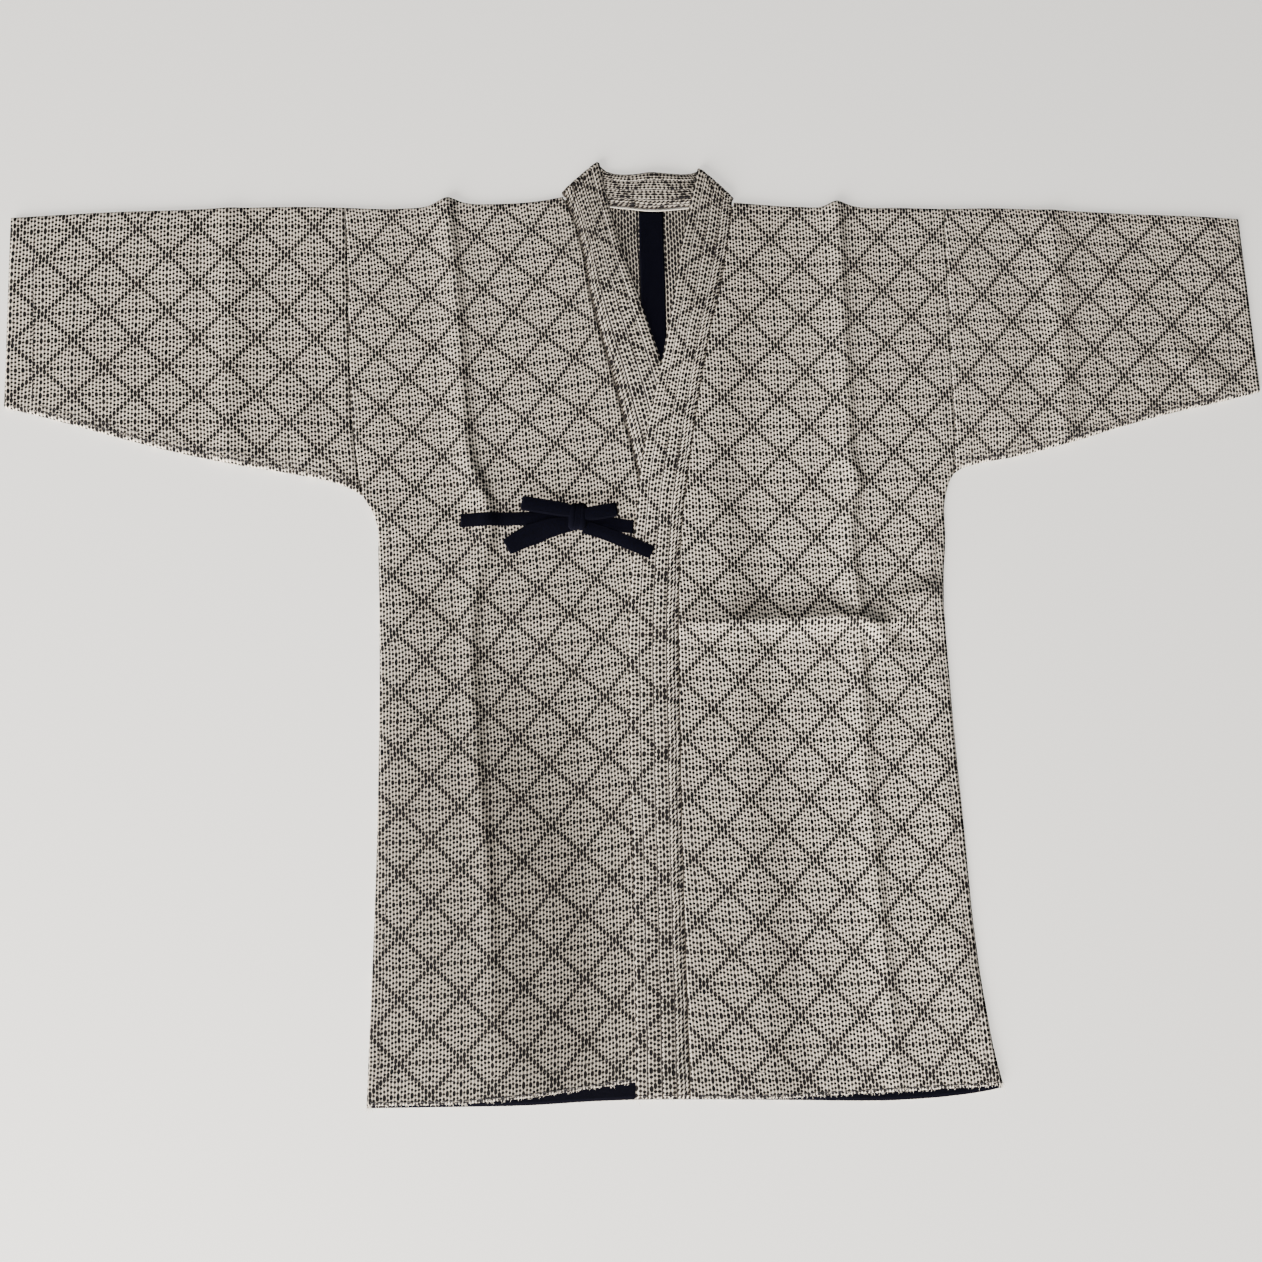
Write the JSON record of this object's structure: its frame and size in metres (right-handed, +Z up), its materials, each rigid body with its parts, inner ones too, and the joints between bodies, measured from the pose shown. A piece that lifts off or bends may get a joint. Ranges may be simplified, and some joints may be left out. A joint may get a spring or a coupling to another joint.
{
  "type": "kendo jacket",
  "caption": "Open-fronted cotton practice jacket laid flat on its back, wide straight sleeves, long banded collar, left front over right, held by one tied bow.",
  "frame": {"origin": "on the table, under the middle of the jacket's box", "axes": "+X toward the wearer's left sleeve, +Y toward the collar, +Z up from the table; the jacket lies on its back"},
  "size_m": [1.2142, 0.9032, 0.0175],
  "materials": {
    "sashiko_cotton": "unbleached cotton woven with black diamond sashiko figures, matt",
    "navy_cotton": "dark navy plain-woven cotton tape, matt"
  },
  "bodies": {
    "root": {"body_right": "sashiko_cotton", "sleeve_right": "sashiko_cotton", "body_left": "sashiko_cotton", "sleeve_left": "sashiko_cotton", "collar": "sashiko_cotton", "centre_back_tape": "navy_cotton", "back_hem_facing": "navy_cotton", "tie_strap_right": "navy_cotton", "tie_strap_left": "navy_cotton", "bow_tail_right": "navy_cotton", "bow_tail_left": "navy_cotton", "bow_loop_right": "navy_cotton", "bow_loop_left": "navy_cotton", "bow_knot": "navy_cotton"}
  },
  "joints": []
}
